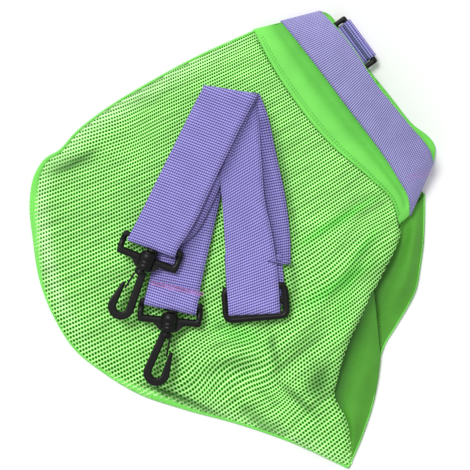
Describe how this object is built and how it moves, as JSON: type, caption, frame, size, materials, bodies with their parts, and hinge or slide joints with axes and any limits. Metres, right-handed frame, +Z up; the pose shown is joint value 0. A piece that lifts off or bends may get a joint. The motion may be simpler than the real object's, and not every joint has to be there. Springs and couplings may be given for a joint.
{
  "type": "mesh carrying bag with detachable shoulder strap",
  "caption": "Flat mesh carrying bag with a wide webbing mouth, D-rings and a folded detachable shoulder strap with slider and swivel snap hooks.",
  "frame": {"origin": "middle of the bounding box on the floor, under the flat lying bag", "axes": "+Z up from the floor with the mesh side on top, +X along the mouth, +Y from the bag's bottom out through its mouth"},
  "size_m": [0.4273, 0.4124, 0.0514],
  "materials": {
    "mesh_fabric": "open knitted mesh",
    "woven_fabric": "plain weave",
    "hem_fabric": "plain weave",
    "webbing": "ribbed webbing",
    "thread": "sewing thread",
    "black_plastic": "moulded"
  },
  "bodies": {
    "bag": {"mesh_panel": "mesh_fabric", "back_panel": "woven_fabric", "edge_binding": "woven_fabric", "mouth_band_front": "hem_fabric", "mouth_band_back": "hem_fabric", "mouth_webbing": "webbing", "hem_stitching": "thread", "webbing_lap_stitching": "thread", "ring_tab_left": "webbing", "ring_tab_right": "webbing", "ring_tab_stitching": "thread"},
    "ring_left": {"ring_left": "black_plastic"},
    "ring_right": {"ring_right": "black_plastic"},
    "strap": {"strap_webbing": "webbing", "strap_end_stitching": "thread"},
    "slider": {"slider": "black_plastic", "strap_turn": "webbing"},
    "hook_1_loop": {"hook_1_loop": "black_plastic"},
    "hook_1": {"hook_1_body": "black_plastic"},
    "hook_1_gate": {"hook_1_gate": "black_plastic"},
    "hook_2_loop": {"hook_2_loop": "black_plastic"},
    "hook_2": {"hook_2_body": "black_plastic"},
    "hook_2_gate": {"hook_2_gate": "black_plastic"}
  },
  "joints": [
    {"name": "ring_left_flip", "type": "hinge", "parent": "bag", "child": "ring_left", "pos_m": [-0.121, 0.2015, 0.0086], "axis": [-1, 0, 0], "range_deg": [0, 165]},
    {"name": "ring_right_flip", "type": "hinge", "parent": "bag", "child": "ring_right", "pos_m": [-0.038, 0.186, 0.0086], "axis": [-1, 0, 0], "range_deg": [0, 150]},
    {"name": "strap_lift", "type": "slide", "parent": "bag", "child": "strap", "axis": [0, 0, 1], "range_m": [0, 0.06]},
    {"name": "slider_slide", "type": "slide", "parent": "strap", "child": "slider", "axis": [0.839, -0.5442, 0], "range_m": [0, 0.02]},
    {"name": "hook_1_tilt", "type": "hinge", "parent": "strap", "child": "hook_1_loop", "pos_m": [-0.0795, -0.0794, 0.028], "axis": [-0.8387, -0.5446, 0], "range_deg": [0, 95]},
    {"name": "hook_1_swivel", "type": "hinge", "parent": "hook_1_loop", "child": "hook_1", "pos_m": [-0.06934, -0.09504, 0.028], "axis": [0.4131, -0.9107, 0], "continuous": true},
    {"name": "hook_1_gate_press", "type": "hinge", "parent": "hook_1", "child": "hook_1_gate", "pos_m": [-0.06678, -0.11183, 0.028], "axis": [0, 0, 1], "range_deg": [0, 20], "stiffness_Nm_per_rad": 0.05, "springref_deg": -20.05},
    {"name": "hook_2_tilt", "type": "hinge", "parent": "strap", "child": "hook_2_loop", "pos_m": [-0.022, -0.1004, 0.0238], "axis": [-0.6756, -0.7373, 0], "range_deg": [0, 95]},
    {"name": "hook_2_swivel", "type": "hinge", "parent": "hook_2_loop", "child": "hook_2", "pos_m": [-0.00825, -0.113, 0.0238], "axis": [0.6374, -0.7705, 0], "continuous": true},
    {"name": "hook_2_gate_press", "type": "hinge", "parent": "hook_2", "child": "hook_2_gate", "pos_m": [0.00572, -0.12266, 0.0238], "axis": [0, 0, -1], "range_deg": [0, 20], "stiffness_Nm_per_rad": 0.05, "springref_deg": -20.05}
  ]
}
